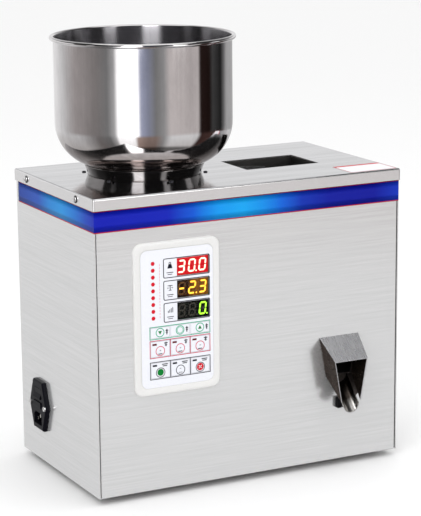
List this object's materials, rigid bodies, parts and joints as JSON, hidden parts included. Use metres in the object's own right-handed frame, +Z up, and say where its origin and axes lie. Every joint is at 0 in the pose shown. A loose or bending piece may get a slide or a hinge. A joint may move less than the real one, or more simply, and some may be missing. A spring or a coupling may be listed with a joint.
{
  "type": "weighing filling machine",
  "caption": "Bench-top weighing and filling machine: bowl hopper on a steel cabinet, keypad with displays in front, shaking trough, weigh bucket and spout.",
  "frame": {"origin": "on the table, under the centre of the cabinet", "axes": "+Z up, +X along the front from left to right, +Y from the front to the back, so the keypad and spout face -Y"},
  "size_m": [0.3888, 0.2551, 0.4978],
  "materials": {
    "brushed_sheet": "brushed",
    "satin_sheet": "satin",
    "polished_steel": "polished",
    "turned_aluminium": "turned",
    "zinc_plated": "plated",
    "spring_steel": "satin",
    "iron": "rough",
    "copper_winding": "varnished",
    "black_rubber": "matte",
    "black_plastic": "moulded",
    "inlet_brass": "nickel plated",
    "white_plastic": "moulded",
    "white_film": "printed film",
    "dark_window": "clear",
    "digit_block": "moulded",
    "circuit_board": "solder mask"
  },
  "bodies": {
    "machine": {"bag_switch_body": "black_plastic", "base_plate": "satin_sheet", "base_spring_clamps": "zinc_plated", "board_spacers": "zinc_plated", "bucket_bracket": "zinc_plated", "coil_core": "iron", "control_board": "circuit_board", "discharge_chute": "satin_sheet", "display_modules": "digit_block", "display_windows": "dark_window", "door_solenoid": "copper_winding", "driver_board": "circuit_board", "feed_funnel": "satin_sheet", "feeder_base": "iron", "feeder_coil": "copper_winding", "feeder_mounts": "black_rubber", "feeder_shelf": "zinc_plated", "front_panel": "brushed_sheet", "hopper_collar": "turned_aluminium", "inlet_body": "black_plastic", "inlet_pins": "inlet_brass", "keypad_bezel": "white_plastic", "keypad_film": "white_film", "leaf_springs": "spring_steel", "load_cell": "turned_aluminium", "load_cell_stand": "zinc_plated", "mains_transformer": "iron", "rubber_feet": "black_rubber", "side_and_back_wrap": "brushed_sheet", "spout_hood": "satin_sheet", "spout_trough": "satin_sheet", "top_lid": "satin_sheet", "weigh_bucket": "satin_sheet", "window_duct": "satin_sheet"},
    "hopper": {"hopper_bowl": "polished_steel"},
    "feeder": {"feeder_tray": "satin_sheet", "tray_bracket": "turned_aluminium", "armature_plate": "iron", "tray_spring_clamps": "zinc_plated"},
    "flap": {"bucket_door": "satin_sheet", "door_pin": "zinc_plated", "door_lever": "zinc_plated"},
    "plunger": {"solenoid_plunger": "zinc_plated"},
    "bag_lever": {"bag_switch_lever": "zinc_plated"},
    "mains_rocker": {"power_rocker": "black_plastic"},
    "fuse_holder": {"fuse_drawer": "black_plastic"},
    "down_key": {"key_down": "white_film"},
    "stop_key": {"key_stop": "white_film"},
    "up_key": {"key_up": "white_film"},
    "left_key": {"key_left": "white_film"},
    "set_key": {"key_set": "white_film"},
    "right_key": {"key_right": "white_film"},
    "start_key": {"key_start": "white_film"},
    "clear_key": {"key_clear": "white_film"},
    "cancel_key": {"key_cancel": "white_film"}
  },
  "joints": [
    {"name": "hopper_lift", "type": "slide", "parent": "machine", "child": "hopper", "axis": [0, 0, 1], "range_m": [0, 0.08]},
    {"name": "feeder_shake", "type": "slide", "parent": "machine", "child": "feeder", "axis": [0.9659, 0, 0.2588], "range_m": [-0.00075, 0.00075], "stiffness_N_per_m": 25000, "deforming": ["leaf_springs"]},
    {"name": "flap_swing", "type": "hinge", "parent": "machine", "child": "flap", "pos_m": [0.095, -0.0273, 0.246], "axis": [-1, 0, 0], "range_deg": [0, 40], "stiffness_Nm_per_rad": 0.01, "springref_deg": -17.19},
    {"name": "plunger_pull", "type": "slide", "parent": "machine", "child": "plunger", "axis": [0, 1, 0], "range_m": [0, 0.009]},
    {"name": "bag_lever_press", "type": "hinge", "parent": "machine", "child": "bag_lever", "pos_m": [0.1135, -0.1149, 0.0804], "axis": [1, 0, 0], "range_deg": [0, 14], "stiffness_Nm_per_rad": 0.018},
    {"name": "mains_switch", "type": "hinge", "parent": "machine", "child": "mains_rocker", "pos_m": [-0.1943, 0.0492, 0.0896], "axis": [0, -1, 0], "range_deg": [0, 18]},
    {"name": "fuse_pull", "type": "slide", "parent": "machine", "child": "fuse_holder", "axis": [-1, 0, 0], "range_m": [0, 0.015]},
    {"name": "down_press", "type": "slide", "parent": "machine", "child": "down_key", "axis": [0, 1, 0], "range_m": [0, 0.0004], "stiffness_N_per_m": 1500},
    {"name": "stop_press", "type": "slide", "parent": "machine", "child": "stop_key", "axis": [0, 1, 0], "range_m": [0, 0.0004], "stiffness_N_per_m": 1500},
    {"name": "up_press", "type": "slide", "parent": "machine", "child": "up_key", "axis": [0, 1, 0], "range_m": [0, 0.0004], "stiffness_N_per_m": 1500},
    {"name": "left_press", "type": "slide", "parent": "machine", "child": "left_key", "axis": [0, 1, 0], "range_m": [0, 0.0004], "stiffness_N_per_m": 1500},
    {"name": "set_press", "type": "slide", "parent": "machine", "child": "set_key", "axis": [0, 1, 0], "range_m": [0, 0.0004], "stiffness_N_per_m": 1500},
    {"name": "right_press", "type": "slide", "parent": "machine", "child": "right_key", "axis": [0, 1, 0], "range_m": [0, 0.0004], "stiffness_N_per_m": 1500},
    {"name": "start_press", "type": "slide", "parent": "machine", "child": "start_key", "axis": [0, 1, 0], "range_m": [0, 0.0004], "stiffness_N_per_m": 1500},
    {"name": "clear_press", "type": "slide", "parent": "machine", "child": "clear_key", "axis": [0, 1, 0], "range_m": [0, 0.0004], "stiffness_N_per_m": 1500},
    {"name": "cancel_press", "type": "slide", "parent": "machine", "child": "cancel_key", "axis": [0, 1, 0], "range_m": [0, 0.0004], "stiffness_N_per_m": 1500}
  ],
  "couplings": [
    {"joint": "plunger_pull", "follows": "flap_swing", "m_per_rad": 0.01289}
  ]
}
